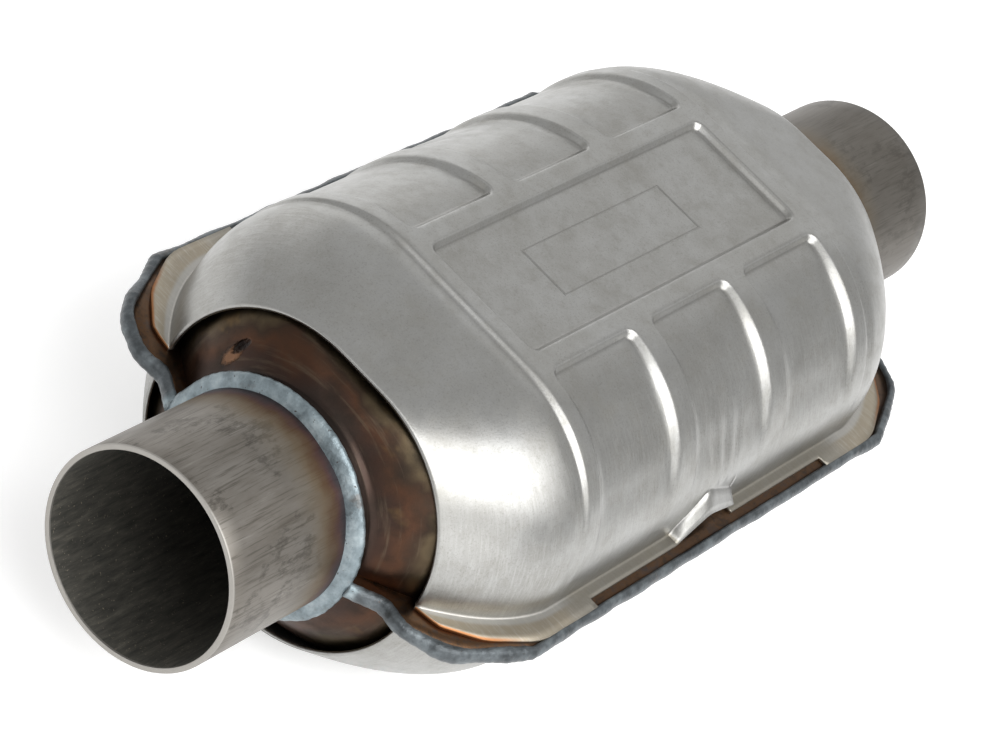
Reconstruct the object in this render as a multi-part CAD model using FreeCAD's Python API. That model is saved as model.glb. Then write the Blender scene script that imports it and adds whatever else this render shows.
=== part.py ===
import FreeCAD, Part
import math
import os

# Oval catalytic converter for an exhaust line.
# Frame: origin at the centre, +X along the gas flow, +Z up, the welded seam lies in z = 0.
# All sizes are millimetres. "Half" sizes are measured from the centre planes, and the
# sizes grow outwards from the ceramic bricks: mat, can, air gap, heat shield, flange.

# ---- ceramic bricks, support mats and mesh seals ----------------------------------------
BRICK_LENGTH = 66.0
BRICK_HALF_WIDTH = 51.0
BRICK_HALF_HEIGHT = 35.2
BRICK_CORNER_R = 29.5
BRICK_GAP = 12.0             # between the two bricks
BRICK_END_MARGIN = 6.0       # straight can left past each brick
MAT_THICKNESS = 5.0
MAT_CLEARANCE = 0.15         # left on each side of the mats and seals
SEAL_LENGTH = 5.0

# ---- exhaust tubes ----------------------------------------------------------------------
TUBE_R = 28.575              # outside radius of a 2.25 inch tube
TUBE_WALL = 1.5
TUBE_REACH = 46.5            # open length beyond the collar
TUBE_TUCK = 8.0              # length past the collar, inside the can
COLLAR_CLEARANCE = 0.1       # radial, between tube and collar

# ---- inner can, two stamped halves ------------------------------------------------------
CAN_SHEET = 1.5
CONE_LENGTH = 36.0
COLLAR_LENGTH = 4.5
CONE_STEPS = 6
CONE_WIDTH_POWER = 2.1       # how long the cone keeps its width before it falls to the neck
CONE_HEIGHT_POWER = 3.4

# ---- heat shields, two stamped halves ---------------------------------------------------
SHIELD_SHEET = 1.0
AIR_GAP = 4.5                # between the can and the shield's inner side
END_RIB_WIDTH = 5.3          # transverse rib at each end of the panels
SHIELD_RISER = 1.3           # drop from the end ribs to the end cone
RISER_LEDGE = 4.5            # from the end ribs to the start of the cone
SHIELD_CONE_LENGTH = 34.4
ARCH_SETBACK = 6.6           # from the collar's root back to the shield's open arch
ARCH_CORNER_EASE = 2.5       # the arch is this much rounder than the can below it
SHIELD_WIDTH_POWER = 2.0
SHIELD_HEIGHT_POWER = 1.2
WING_SIDE_LENGTH = 25.0      # straight side of a wing, beside the narrow strip
STRIP_WIDTH = 3.6

# ---- stamped panels in the shields ------------------------------------------------------
PANEL_DEPTH = 1.8
PANEL_CORNER_R = 4.0
PANEL_FADE_ANGLE = 30.0      # degrees above the horizontal where side panels run out
PANEL_COUNT = 3              # side panels along X
PANEL_RIB_WIDTH = 7.9        # between side panels
RAIL_WIDTH = 5.5             # between the top panel and the side panels
RAIL_FLAT = 2.0              # part of the rail that lies on the flat top

# ---- lifted strip that lets heat and water out, one on each long side -------------------
SCOOP_START = -16.0
SCOOP_CREST = -7.0
SCOOP_MOUTH = 7.5
SCOOP_START_RISES = (0.0, 1.5)   # of the lip and of the fold on the wall, above the strip
SCOOP_CREST_RISES = (8.0, 13.0)
SCOOP_MOUTH_RISES = (4.5, 7.5)
SCOOP_SLIT = 3.5

# ---- flange round the can and the weld beads --------------------------------------------
FLANGE_LEDGE = 2.9           # bare flange outside the shield's strip
FLANGE_NECK_LIP = 1.3        # how far the flange stands out beside the collar
SEAM_BEAD_R = 2.9
NECK_BEAD_THROW = 2.8        # height of the neck weld over the collar
NECK_BEAD_LAP = 1.5          # how far it laps back over the collar
NECK_BEAD_TOE = 3.5          # how far it runs out on the tube

# ---- worked out from the sizes above ----------------------------------------------------
COLLAR_R = TUBE_R + COLLAR_CLEARANCE + CAN_SHEET
CAN_HALF_WIDTH = BRICK_HALF_WIDTH + MAT_THICKNESS + CAN_SHEET
CAN_HALF_HEIGHT = BRICK_HALF_HEIGHT + MAT_THICKNESS + CAN_SHEET
CAN_CORNER_R = BRICK_CORNER_R + MAT_THICKNESS + CAN_SHEET
CAN_BODY_HALF_LENGTH = BRICK_GAP / 2 + BRICK_LENGTH + BRICK_END_MARGIN
NECK_X = CAN_BODY_HALF_LENGTH + CONE_LENGTH
COLLAR_END = NECK_X + COLLAR_LENGTH
TUBE_MOUTH = COLLAR_END + TUBE_REACH
TUBE_INNER_END = NECK_X - TUBE_TUCK

SHIELD_OFFSET = AIR_GAP + SHIELD_SHEET
SHIELD_HALF_WIDTH = CAN_HALF_WIDTH + SHIELD_OFFSET
SHIELD_HALF_HEIGHT = CAN_HALF_HEIGHT + SHIELD_OFFSET + PANEL_DEPTH
SHIELD_CORNER_R = CAN_CORNER_R + SHIELD_OFFSET
ARCH_X = NECK_X - ARCH_SETBACK
SHIELD_CONE_START = ARCH_X - SHIELD_CONE_LENGTH
SHIELD_RIB_END = SHIELD_CONE_START - RISER_LEDGE
TOP_PANEL_HALF_LENGTH = SHIELD_RIB_END - END_RIB_WIDTH
TOP_PANEL_HALF_WIDTH = SHIELD_HALF_WIDTH - SHIELD_CORNER_R - RAIL_FLAT
SIDE_PANEL_EDGE = TOP_PANEL_HALF_WIDTH + RAIL_WIDTH
SIDE_PANEL_LENGTH = (2 * TOP_PANEL_HALF_LENGTH + PANEL_RIB_WIDTH) / PANEL_COUNT - PANEL_RIB_WIDTH
STRIP_HALF_WIDTH = SHIELD_HALF_WIDTH + STRIP_WIDTH
FLANGE_HALF_WIDTH = STRIP_HALF_WIDTH + FLANGE_LEDGE

# Corner points of the flange's edge and of a shield wing, for x > 0 and y > 0.
FLANGE_STRAIGHT_END = (CAN_BODY_HALF_LENGTH + 7.0, FLANGE_HALF_WIDTH)
FLANGE_SHOULDER = (NECK_X - 6.5, FLANGE_HALF_WIDTH - 9.5)
FLANGE_CORNER = (NECK_X + 0.2, COLLAR_R + 17.3)
FLANGE_WAIST = (NECK_X - 1.4, COLLAR_R + 9.9)
FLANGE_END = (COLLAR_END, COLLAR_R + FLANGE_NECK_LIP)
WING_STRAIGHT_END = (FLANGE_STRAIGHT_END[0] - 3.0, FLANGE_HALF_WIDTH)
STRIP_HALF_LENGTH = WING_STRAIGHT_END[0] - WING_SIDE_LENGTH
WING_SHOULDER = (ARCH_X - 10.4, FLANGE_HALF_WIDTH - 7.5)
WING_CORNER = (ARCH_X - 1.4, COLLAR_R + 22.3)
FLANGE_RADII = [6.0, 9.0, 14.0, 30.0]
WING_RADII = [5.0, 15.0, 20.0]

X_AXIS = FreeCAD.Vector(1, 0, 0)
Y_AXIS = FreeCAD.Vector(0, 1, 0)
Z_AXIS = FreeCAD.Vector(0, 0, 1)
ORIGIN = FreeCAD.Vector(0, 0, 0)
FAR = 400.0                  # larger than the part, for cutting tools
TOOL_OVERLAP = 2.0           # how far a cutting tool reaches past the surface
FLANK = math.tan(math.radians(22.5))   # spread of a 45 degree flank per unit of sheet


def vec(x, y, z):
    return FreeCAD.Vector(x, y, z)


def flipped(shape):
    """The shape's mirror twin below the seam."""
    return shape.mirror(ORIGIN, Z_AXIS)


def turned(shape):
    """The shape's mirror twin at the other end."""
    return shape.mirror(ORIGIN, X_AXIS)


# ---- sections and lofts -----------------------------------------------------------------
def oval_wire(x, half_width, half_height, corner_r):
    """A rounded rectangle across the part at x."""
    y = half_width - corner_r
    z = half_height - corner_r
    arcs = []
    for turn, centre in enumerate([vec(x, y, z), vec(x, -y, z), vec(x, -y, -z), vec(x, y, -z)]):
        angles = [math.pi / 4 * (2 * turn + step) for step in range(3)]
        ring = [centre + vec(0, math.cos(a), math.sin(a)) * corner_r for a in angles]
        arcs.append((Part.Arc(ring[0], ring[1], ring[2]).toShape(), ring[0], ring[2]))
    edges = []
    for index, (arc, _, end) in enumerate(arcs):
        following_start = arcs[(index + 1) % len(arcs)][1]
        edges += [arc, Part.LineSegment(end, following_start).toShape()]
    return Part.Wire(edges)


def oval_bar(x_start, x_end, half_width, half_height, corner_r):
    face = Part.Face(oval_wire(x_start, half_width, half_height, corner_r))
    return face.extrude(vec(x_end - x_start, 0, 0))


def upper_half(shape, floor):
    """What lies above z = floor."""
    return shape.common(Part.makeBox(FAR, FAR, FAR, vec(-FAR / 2, -FAR / 2, floor)))


# ---- outlines in the seam plane ---------------------------------------------------------
def rounded_corner(before, corner, after, radius):
    """Tangent points and middle point of an arc of this radius in a corner."""
    to_before = (before - corner).normalize()
    to_after = (after - corner).normalize()
    half_angle = to_before.getAngle(to_after) / 2
    setback = radius / math.tan(half_angle)
    bisector = (to_before + to_after).normalize()
    middle = corner + bisector * (radius / math.sin(half_angle) - radius)
    return corner + to_before * setback, middle, corner + to_after * setback


def rounded_path(points, radii):
    """Edges of an open path whose inner points have these radii, 0 for a sharp corner."""
    edges = []
    here = points[0]
    for index, radius in enumerate(radii, start=1):
        if radius == 0:
            edges.append(Part.LineSegment(here, points[index]).toShape())
            here = points[index]
            continue
        start, middle, end = rounded_corner(points[index - 1], points[index],
                                            points[index + 1], radius)
        edges.append(Part.LineSegment(here, start).toShape())
        edges.append(Part.Arc(start, middle, end).toShape())
        here = end
    edges.append(Part.LineSegment(here, points[-1]).toShape())
    return edges


def end_to_end(quarter, radii):
    """One side's path from the inlet end to the outlet end, from its outlet quarter."""
    inlet_side = [vec(-x, y, 0) for x, y in quarter]
    outlet_side = [vec(x, y, 0) for x, y in reversed(quarter)]
    return rounded_path(inlet_side + outlet_side, radii + radii[::-1])


def flange_edge():
    """One side's edge of the can flange, from collar to collar."""
    return end_to_end([FLANGE_END, FLANGE_WAIST, FLANGE_CORNER, FLANGE_SHOULDER,
                       FLANGE_STRAIGHT_END], FLANGE_RADII)


def plate(edges, floor, thickness):
    """A flat plate from one side's edges and their mirror twins across the axis."""
    start = edges[0].Vertexes[0].Point
    end = edges[-1].Vertexes[-1].Point
    on_axis = [vec(end.x, 0, 0), vec(start.x, 0, 0)]
    closing = Part.makePolygon([end] + on_axis + [start])
    half = Part.Face(Part.Wire(edges + closing.Edges)).extrude(Z_AXIS * thickness)
    whole = half.fuse(half.mirror(ORIGIN, Y_AXIS)).removeSplitter()
    whole.translate(Z_AXIS * floor)
    return whole


# ---- can ----------------------------------------------------------------------------------
def can_section(along):
    """Half width, half height and corner radius of the end cone, 0 at the body, 1 at the neck."""
    width_left = 1 - along ** CONE_WIDTH_POWER
    height_left = 1 - along ** CONE_HEIGHT_POWER
    neck = COLLAR_R + 0.2
    return (neck + (CAN_HALF_WIDTH - neck) * width_left,
            neck + (CAN_HALF_HEIGHT - neck) * height_left,
            CAN_CORNER_R + (COLLAR_R - CAN_CORNER_R) * along)


def can_plug(inset):
    """The can's outer form, or its hollow when inset by the sheet."""
    wires = []
    for step in range(CONE_STEPS + 1):
        along = step / CONE_STEPS
        width, height, corner = can_section(along)
        x = CAN_BODY_HALF_LENGTH + (CONE_LENGTH - inset / 2) * along
        wires.append(oval_wire(x, width - inset, height - inset, corner - inset))
    cone = Part.makeLoft(wires, True, True)
    body = oval_bar(-CAN_BODY_HALF_LENGTH, CAN_BODY_HALF_LENGTH, CAN_HALF_WIDTH - inset,
                    CAN_HALF_HEIGHT - inset, CAN_CORNER_R - inset)
    return body.fuse([cone, turned(cone)])


def upper_can_shell():
    collar = Part.makeCylinder(COLLAR_R, 2 * COLLAR_END, vec(-COLLAR_END, 0, 0), X_AXIS)
    outside = can_plug(0).fuse([collar, plate(flange_edge(), 0, CAN_SHEET)])
    bore = Part.makeCylinder(TUBE_R + COLLAR_CLEARANCE, FAR, vec(-FAR / 2, 0, 0), X_AXIS)
    shell = upper_half(outside, 0).cut(can_plug(CAN_SHEET).fuse(bore))
    return shell.removeSplitter()


# ---- heat shield --------------------------------------------------------------------------
def arch_section():
    """The shield's open end keeps the air gap round the can's cone."""
    can_width, can_height, can_corner = can_section((ARCH_X - CAN_BODY_HALF_LENGTH) / CONE_LENGTH)
    corner = can_corner + SHIELD_OFFSET + ARCH_CORNER_EASE
    return can_width + SHIELD_OFFSET, can_height + SHIELD_OFFSET, corner


def shield_plug(inset, overrun):
    """The shield's outer form, or its hollow when inset; overrun opens the arches."""
    low_top = SHIELD_HALF_HEIGHT - SHIELD_RISER
    arch_width, arch_height, arch_corner = arch_section()
    stations = [(0.0, SHIELD_HALF_WIDTH, SHIELD_HALF_HEIGHT, SHIELD_CORNER_R),
                (SHIELD_RIB_END, SHIELD_HALF_WIDTH, SHIELD_HALF_HEIGHT, SHIELD_CORNER_R),
                (SHIELD_RIB_END + SHIELD_RISER, SHIELD_HALF_WIDTH, low_top, SHIELD_CORNER_R)]
    for step in range(CONE_STEPS + 1):
        along = step / CONE_STEPS
        width = SHIELD_HALF_WIDTH + (arch_width - SHIELD_HALF_WIDTH) * along ** SHIELD_WIDTH_POWER
        height = low_top + (arch_height - low_top) * along ** SHIELD_HEIGHT_POWER
        corner = SHIELD_CORNER_R + (arch_corner - SHIELD_CORNER_R) * along
        stations.append((SHIELD_CONE_START + SHIELD_CONE_LENGTH * along, width, height, corner))
    wires = [oval_wire(x, width - inset, height - inset, corner - inset)
             for x, width, height, corner in stations]
    half = Part.makeLoft(wires, True, True)
    if overrun:
        mouth = oval_bar(ARCH_X, ARCH_X + overrun, arch_width - inset, arch_height - inset,
                         arch_corner - inset)
        half = half.fuse(mouth)
    return half.fuse(turned(half))


def side_panel_tool(middle_x, inset):
    """What a side panel's stamping takes off: a swept trapezoid that runs out tangentially."""
    spread = inset * FLANK
    centre = vec(0, SHIELD_HALF_WIDTH - SHIELD_CORNER_R, SHIELD_HALF_HEIGHT - SHIELD_CORNER_R)
    floor_r = SHIELD_CORNER_R - inset - PANEL_DEPTH
    top_r = SHIELD_CORNER_R - inset + TOOL_OVERLAP
    half_floor = SIDE_PANEL_LENGTH / 2 - PANEL_DEPTH + spread
    half_top = SIDE_PANEL_LENGTH / 2 + TOOL_OVERLAP + spread
    fade = math.radians(PANEL_FADE_ANGLE)
    outward = vec(0, math.cos(fade), math.sin(fade))
    down = vec(0, math.sin(fade), -math.cos(fade))
    corners = [(-half_floor, floor_r), (half_floor, floor_r), (half_top, top_r),
               (-half_top, top_r)]
    points = [centre + vec(middle_x + x, 0, 0) + outward * r for x, r in corners]
    face = Part.Face(Part.makePolygon(points + points[:1]))
    around = face.revolve(centre, X_AXIS, 90 - PANEL_FADE_ANGLE)
    run_out = face.extrude(down * SHIELD_CORNER_R / 2)
    tool = around.fuse(run_out)
    edge_level = SIDE_PANEL_EDGE - spread + SHIELD_HALF_HEIGHT - inset
    flank = Part.makeBox(FAR, FAR, FAR, vec(-FAR / 2, -FAR / 2, 0))
    flank.rotate(ORIGIN, X_AXIS, -45)
    flank.translate(vec(0, 0, edge_level))
    return tool.common(flank)


def top_panel_tool(inset):
    """What the long top panel's stamping takes off."""
    spread = inset * FLANK
    wires = []
    for rise in (-PANEL_DEPTH, TOOL_OVERLAP):
        half_x = TOP_PANEL_HALF_LENGTH + rise + spread
        half_y = TOP_PANEL_HALF_WIDTH + rise + spread
        radius = PANEL_CORNER_R + rise + PANEL_DEPTH
        level = SHIELD_HALF_HEIGHT - inset + rise
        corners = [vec(sx * half_x, sy * half_y, level)
                   for sx, sy in ((1, -1), (1, 1), (-1, 1), (-1, -1))]
        middle = vec(0, -half_y, level)
        edges = rounded_path([middle] + corners + [middle], [radius] * 4)
        wires.append(Part.Wire(edges))
    return Part.makeLoft(wires, True, True)


def stamped_plug(inset, overrun):
    """The shield's form with its panels pressed in."""
    tools = [top_panel_tool(inset)]
    for index in range(PANEL_COUNT):
        middle_x = (index - (PANEL_COUNT - 1) / 2) * (SIDE_PANEL_LENGTH + PANEL_RIB_WIDTH)
        tool = side_panel_tool(middle_x, inset)
        tools.append(tool)
        tools.append(tool.mirror(ORIGIN, Y_AXIS))
    return shield_plug(inset, overrun).cut(tools)


def shield_edge():
    """One side's outer edge of the shield: wing, narrow strip, wing."""
    arch_width = arch_section()[0]
    quarter = [(ARCH_X, arch_width), WING_CORNER, WING_SHOULDER, WING_STRAIGHT_END,
               (STRIP_HALF_LENGTH, FLANGE_HALF_WIDTH), (STRIP_HALF_LENGTH, STRIP_HALF_WIDTH)]
    return end_to_end(quarter, WING_RADII + [0, 0])


def scoop_wedge(inset, overhang):
    """The ramp of the lifted strip; inset by the sheet it is the space under it."""
    wall = SHIELD_HALF_WIDTH - SHIELD_SHEET - inset
    lip = STRIP_HALF_WIDTH + overhang
    base = CAN_SHEET - overhang
    strip_top = CAN_SHEET + SHIELD_SHEET
    wires = []
    for x, rises in ((SCOOP_START, SCOOP_START_RISES), (SCOOP_CREST, SCOOP_CREST_RISES),
                     (SCOOP_MOUTH, SCOOP_MOUTH_RISES)):
        lip_rise, wall_rise = rises
        slope = (wall_rise - lip_rise) / (STRIP_HALF_WIDTH - SHIELD_HALF_WIDTH)
        drop = inset * math.hypot(1, slope)
        lip_z = strip_top + lip_rise - drop - slope * overhang
        wall_z = strip_top + lip_rise - drop + slope * (STRIP_HALF_WIDTH - wall)
        corners = [(wall, base), (lip, base), (lip, max(lip_z, base + 0.01)), (wall, wall_z)]
        points = [vec(x, y, z) for y, z in corners]
        wires.append(Part.makePolygon(points + points[:1]))
    return Part.makeLoft(wires, True, True)


def with_scoops(outside, hollow):
    """Adds the lifted strip on both sides, with the slit past its mouth."""
    ramp = scoop_wedge(0, 0)
    under = scoop_wedge(SHIELD_SHEET, 0.5)
    slit = Part.makeBox(SCOOP_SLIT, STRIP_HALF_WIDTH, SHIELD_SHEET + TOOL_OVERLAP,
                        vec(SCOOP_MOUTH, SHIELD_HALF_WIDTH - TOOL_OVERLAP, CAN_SHEET - 0.5))
    ramps = [ramp, ramp.mirror(ORIGIN, Y_AXIS)]
    cuts = [hollow]
    for cut in (under, slit):
        cuts += [cut, cut.mirror(ORIGIN, Y_AXIS)]
    return outside.fuse(ramps).cut(cuts)


def upper_heat_shield():
    outside = upper_half(stamped_plug(0, 0), CAN_SHEET)
    outside = outside.fuse(plate(shield_edge(), CAN_SHEET, SHIELD_SHEET))
    return with_scoops(outside, stamped_plug(SHIELD_SHEET, 5.0)).removeSplitter()


# ---- tubes and welds ------------------------------------------------------------------------
def inlet_pipe():
    length = TUBE_MOUTH - TUBE_INNER_END
    outer = Part.makeCylinder(TUBE_R, length, vec(-TUBE_MOUTH, 0, 0), X_AXIS)
    return outer.cut(Part.makeCylinder(TUBE_R - TUBE_WALL, length, vec(-TUBE_MOUTH, 0, 0), X_AXIS))


def inlet_neck_weld(can_halves):
    """A fillet bead round the tube, against the collar's end and lapped over its edge."""
    crown_r = COLLAR_R + NECK_BEAD_THROW
    profile = [(NECK_BEAD_LAP, COLLAR_R), (NECK_BEAD_LAP - 0.5, crown_r - 1.0), (0, crown_r),
               (-1.5, crown_r - 0.5), (0.6 - NECK_BEAD_TOE, TUBE_R + 1.6),
               (-NECK_BEAD_TOE, TUBE_R), (0, TUBE_R), (0, COLLAR_R), (NECK_BEAD_LAP, COLLAR_R)]
    points = [vec(x - COLLAR_END, r, 0) for x, r in profile]
    bead = Part.Face(Part.makePolygon(points)).revolve(ORIGIN, X_AXIS, 360)
    return bead.cut(can_halves)


def half_round(start, outward):
    """The seam bead's section: flat against the flange edge, round outside."""
    low = start - Z_AXIS * SEAM_BEAD_R
    high = start + Z_AXIS * SEAM_BEAD_R
    edges = [Part.Arc(low, start + outward * SEAM_BEAD_R, high).toShape(),
             Part.LineSegment(high, low).toShape()]
    return Part.Face(Part.Wire(edges))


def left_seam_weld(neighbours):
    """A half round bead along the flange edge, from neck weld to neck weld."""
    runs = []
    for edge in flange_edge():
        start = edge.valueAt(edge.FirstParameter)
        along = edge.tangentAt(edge.FirstParameter)
        section = half_round(start, Z_AXIS.cross(along))
        if isinstance(edge.Curve, Part.Line):
            runs.append(section.extrude(along * edge.Length))
        else:
            circle = edge.Curve
            bend = math.degrees(edge.Length / circle.Radius)
            inside = (circle.Center - start).dot(Z_AXIS.cross(along)) > 0
            runs.append(section.revolve(circle.Center, Z_AXIS, bend if inside else -bend))
    return runs[0].fuse(runs[1:]).removeSplitter().cut(neighbours)


# ---- bricks, mats, seals --------------------------------------------------------------------
def oval_ring(x_start, x_end, outer_inset, inner_inset):
    """A band that follows the can, between two distances inside its outer surface."""
    bands = [oval_bar(x_start, x_end, CAN_HALF_WIDTH - inset, CAN_HALF_HEIGHT - inset,
                      CAN_CORNER_R - inset) for inset in (outer_inset, inner_inset)]
    return bands[0].cut(bands[1])


def front_brick():
    inset = CAN_SHEET + MAT_THICKNESS
    return oval_bar(-BRICK_GAP / 2 - BRICK_LENGTH, -BRICK_GAP / 2, CAN_HALF_WIDTH - inset,
                    CAN_HALF_HEIGHT - inset, CAN_CORNER_R - inset)


def front_band(x_start, x_end):
    outer_inset = CAN_SHEET + MAT_CLEARANCE
    return oval_ring(x_start, x_end, outer_inset,
                     CAN_SHEET + MAT_THICKNESS - MAT_CLEARANCE)


def build():
    upper_can = upper_can_shell()
    lower_can = flipped(upper_can)
    upper_shield = upper_heat_shield()
    inlet_weld = inlet_neck_weld([upper_can, lower_can])
    outlet_weld = turned(inlet_weld)
    left_weld = left_seam_weld([inlet_weld, outlet_weld])
    brick_start = -BRICK_GAP / 2 - BRICK_LENGTH
    brick_end = -BRICK_GAP / 2
    brick = front_brick()
    mat = front_band(brick_start + SEAL_LENGTH, brick_end - SEAL_LENGTH)
    outer_seal = front_band(brick_start, brick_start + SEAL_LENGTH)
    inner_seal = front_band(brick_end - SEAL_LENGTH, brick_end)
    return {
        "upper_can_shell": upper_can,
        "lower_can_shell": lower_can,
        "upper_heat_shield": upper_shield,
        "lower_heat_shield": flipped(upper_shield),
        "inlet_pipe": inlet_pipe(),
        "outlet_pipe": turned(inlet_pipe()),
        "inlet_neck_weld": inlet_weld,
        "outlet_neck_weld": outlet_weld,
        "left_seam_weld": left_weld,
        "right_seam_weld": left_weld.mirror(ORIGIN, Y_AXIS),
        "front_brick": brick,
        "rear_brick": turned(brick),
        "front_support_mat": mat,
        "rear_support_mat": turned(mat),
        "front_brick_inlet_seal": outer_seal,
        "front_brick_outlet_seal": inner_seal,
        "rear_brick_inlet_seal": turned(inner_seal),
        "rear_brick_outlet_seal": turned(outer_seal),
    }


os.makedirs("parts", exist_ok=True)
for node, shape in build().items():
    shape.exportStep("parts/" + node + ".step")
    print(node, "solids", len(shape.Solids), "valid", shape.isValid(),
          "volume", round(shape.Volume, 1))
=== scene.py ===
import math

import bpy
import numpy as np
from mathutils import Matrix, Vector, noise


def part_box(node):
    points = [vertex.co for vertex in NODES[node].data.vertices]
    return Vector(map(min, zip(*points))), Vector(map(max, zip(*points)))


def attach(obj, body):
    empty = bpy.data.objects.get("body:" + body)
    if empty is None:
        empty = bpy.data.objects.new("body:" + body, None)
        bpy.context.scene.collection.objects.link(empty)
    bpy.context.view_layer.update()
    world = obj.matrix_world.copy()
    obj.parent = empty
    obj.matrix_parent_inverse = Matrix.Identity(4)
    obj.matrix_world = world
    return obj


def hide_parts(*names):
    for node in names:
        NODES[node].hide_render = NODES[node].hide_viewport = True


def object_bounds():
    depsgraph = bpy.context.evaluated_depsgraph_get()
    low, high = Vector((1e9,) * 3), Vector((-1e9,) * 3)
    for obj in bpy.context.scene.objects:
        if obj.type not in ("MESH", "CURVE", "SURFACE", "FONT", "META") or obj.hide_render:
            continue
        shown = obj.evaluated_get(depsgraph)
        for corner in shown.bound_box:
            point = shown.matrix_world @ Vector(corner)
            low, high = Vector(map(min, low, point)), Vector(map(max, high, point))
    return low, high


# Looks of an oval catalytic converter. Lengths are millimetres until a mesh is made.
# The shields, can, tubes and beads are finer meshes of the CAD forms; bricks, mats and
# seals are the CAD nodes themselves.

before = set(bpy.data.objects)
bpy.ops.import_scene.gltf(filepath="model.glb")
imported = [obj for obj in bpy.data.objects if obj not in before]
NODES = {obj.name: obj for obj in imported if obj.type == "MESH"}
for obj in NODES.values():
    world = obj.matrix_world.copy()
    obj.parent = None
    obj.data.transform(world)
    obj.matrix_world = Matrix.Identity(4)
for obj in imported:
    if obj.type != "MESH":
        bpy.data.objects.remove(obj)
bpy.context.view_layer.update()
MM = 0.001


def size_of(node):
    """The lowest and highest corners of a CAD node, in millimetres."""
    low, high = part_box(node)
    return Vector(low) / MM, Vector(high) / MM


# ---- sizes read from the frame --------------------------------------------------------
TUBE_R = size_of("inlet_pipe")[1].z
TUBE_MOUTH = -size_of("inlet_pipe")[0].x
TUBE_INNER_END = -size_of("inlet_pipe")[1].x
COLLAR_END = size_of("upper_can_shell")[1].x
FLANGE_HALF_WIDTH = size_of("upper_can_shell")[1].y
CAN_HALF_HEIGHT = size_of("upper_can_shell")[1].z
ARCH_X = size_of("upper_heat_shield")[1].x
SHIELD_HALF_HEIGHT = size_of("upper_heat_shield")[1].z
SEAM_BEAD_R = size_of("left_seam_weld")[1].z
NECK_BEAD_R = size_of("inlet_neck_weld")[1].z
NECK_BEAD_TOE = -size_of("inlet_neck_weld")[0].x

# ---- sizes of the stampings -----------------------------------------------------------
TUBE_WALL = 1.5
CAN_SHEET = 1.5
COLLAR_R = TUBE_R + 1.6
CAN_HALF_WIDTH = 57.5
CAN_CORNER_R = 36.0
CAN_BODY_HALF_LENGTH = 78.0
NECK_X = 114.0
SHIELD_SHEET = 1.0
SHIELD_HALF_WIDTH = 63.0
SHIELD_CORNER_R = 41.5
SHIELD_RISER = 1.3
RIB_END = 68.5
CONE_START = 73.0
ARCH_SECTION = (45.3, 41.5, 39.2)
STRIP_HALF_LENGTH = 57.0
STRIP_HALF_WIDTH = 66.6
PANEL_DEPTH = 1.8
PANEL_CORNER_R = 3.2
PANEL_WALL = 2.2
PANEL_RIB_WIDTH = 7.9
TOP_PANEL = (63.2, 19.5)
SIDE_PANEL_EDGE = 25.0
SIDE_PANEL_LENGTH = 36.9
SIDE_WALL_EXTRA = 1.6          # side panels get softer walls down the flank
PANEL_FADE = math.radians(57)
PANEL_FADE_END = math.radians(80)
TOP_PANEL_EASE = 0.25
SIDE_PANEL_EASE = 0.4
SIDE_PANEL_REACH = 60.0        # half length of a side panel's tool, past the fade
SCOOP = {"start": -16.0, "crest": -7.0, "mouth": 7.5, "slit": 3.5,
         "lips": (0.0, 8.0, 4.5), "folds": (1.5, 13.0, 7.5), "crack": 80.0}
FLANGE_PATH = [(118.5, 31.5), (112.6, 40.1), (114.2, 47.5), (107.5, 60.0), (85.0, 69.5)]
FLANGE_RADII = [6.0, 9.0, 14.0, 30.0]
WING_PATH = [(107.4, 45.3), (106.0, 52.5), (97.0, 62.0), (82.0, 69.5), (57.0, 69.5)]
WING_RADII = [5.0, 15.0, 20.0]
SHIELD_TOP = CAN_SHEET + SHIELD_SHEET
SHIELD_FILLET = 0.7            # between the wall and the edge strip
SCOOP_BEND = 3.0               # height over which the wall bends into the scoop
FLANGE_COLUMNS = 7
TAPER_AT_ARCH = 0.9942         # brings the cone's width taper to 1 at the arch
SHEET_WAVER = 0.10
FLUTE_DEPTH = 0.30
FLUTE_FOOT = 13.0
FLUTE_HEIGHT = 30.0
FLUTE_HALF_LENGTH = 16.0
SEAM_STEP = 0.7
BRICK_CELL = 1.27

# ---- studio ---------------------------------------------------------------------------
FLOOR_HALF = 30.0              # metres
FLOOR_GLOW = 0.46
WORLD_LEVEL = 0.66
# name, direction, distance, size in metres, brightness
LAMPS = [("key", (-0.24, -0.62, 0.75), 1.2, (1.4, 0.9), 4.2),
         ("low_side", (-0.50, -0.86, 0.12), 1.3, (1.3, 0.5), 1.65),
         ("crest", (-0.58, 0.12, 0.74), 1.3, (0.35, 0.35), 2.0),
         ("behind", (0.80, 0.30, 0.52), 1.6, (1.3, 0.8), 0.40),
         ("far_side", (0.55, 0.80, 0.20), 1.5, (1.0, 0.8), 0.7)]
CAMERA_ANGLES = (-73.05, 36.45, 35.32)     # azimuth, elevation, roll in degrees
CAMERA_DISTANCE = 1.0644
CAMERA_ASIDE = -0.00847
CAMERA_ABOVE = -0.00540
CAMERA_LENS = 144.0
CAMERA_SENSOR = 36.0


# ---- small helpers --------------------------------------------------------------------
def smooth(value):
    """Smooth step of a value between 0 and 1."""
    value = np.clip(value, 0, 1)
    return value * value * (3 - 2 * value)


def lump(x, y, z, scale):
    """Smooth noise, about -1 to 1, at a point in millimetres."""
    return noise.noise(Vector((x, y, z)) / scale)


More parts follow.
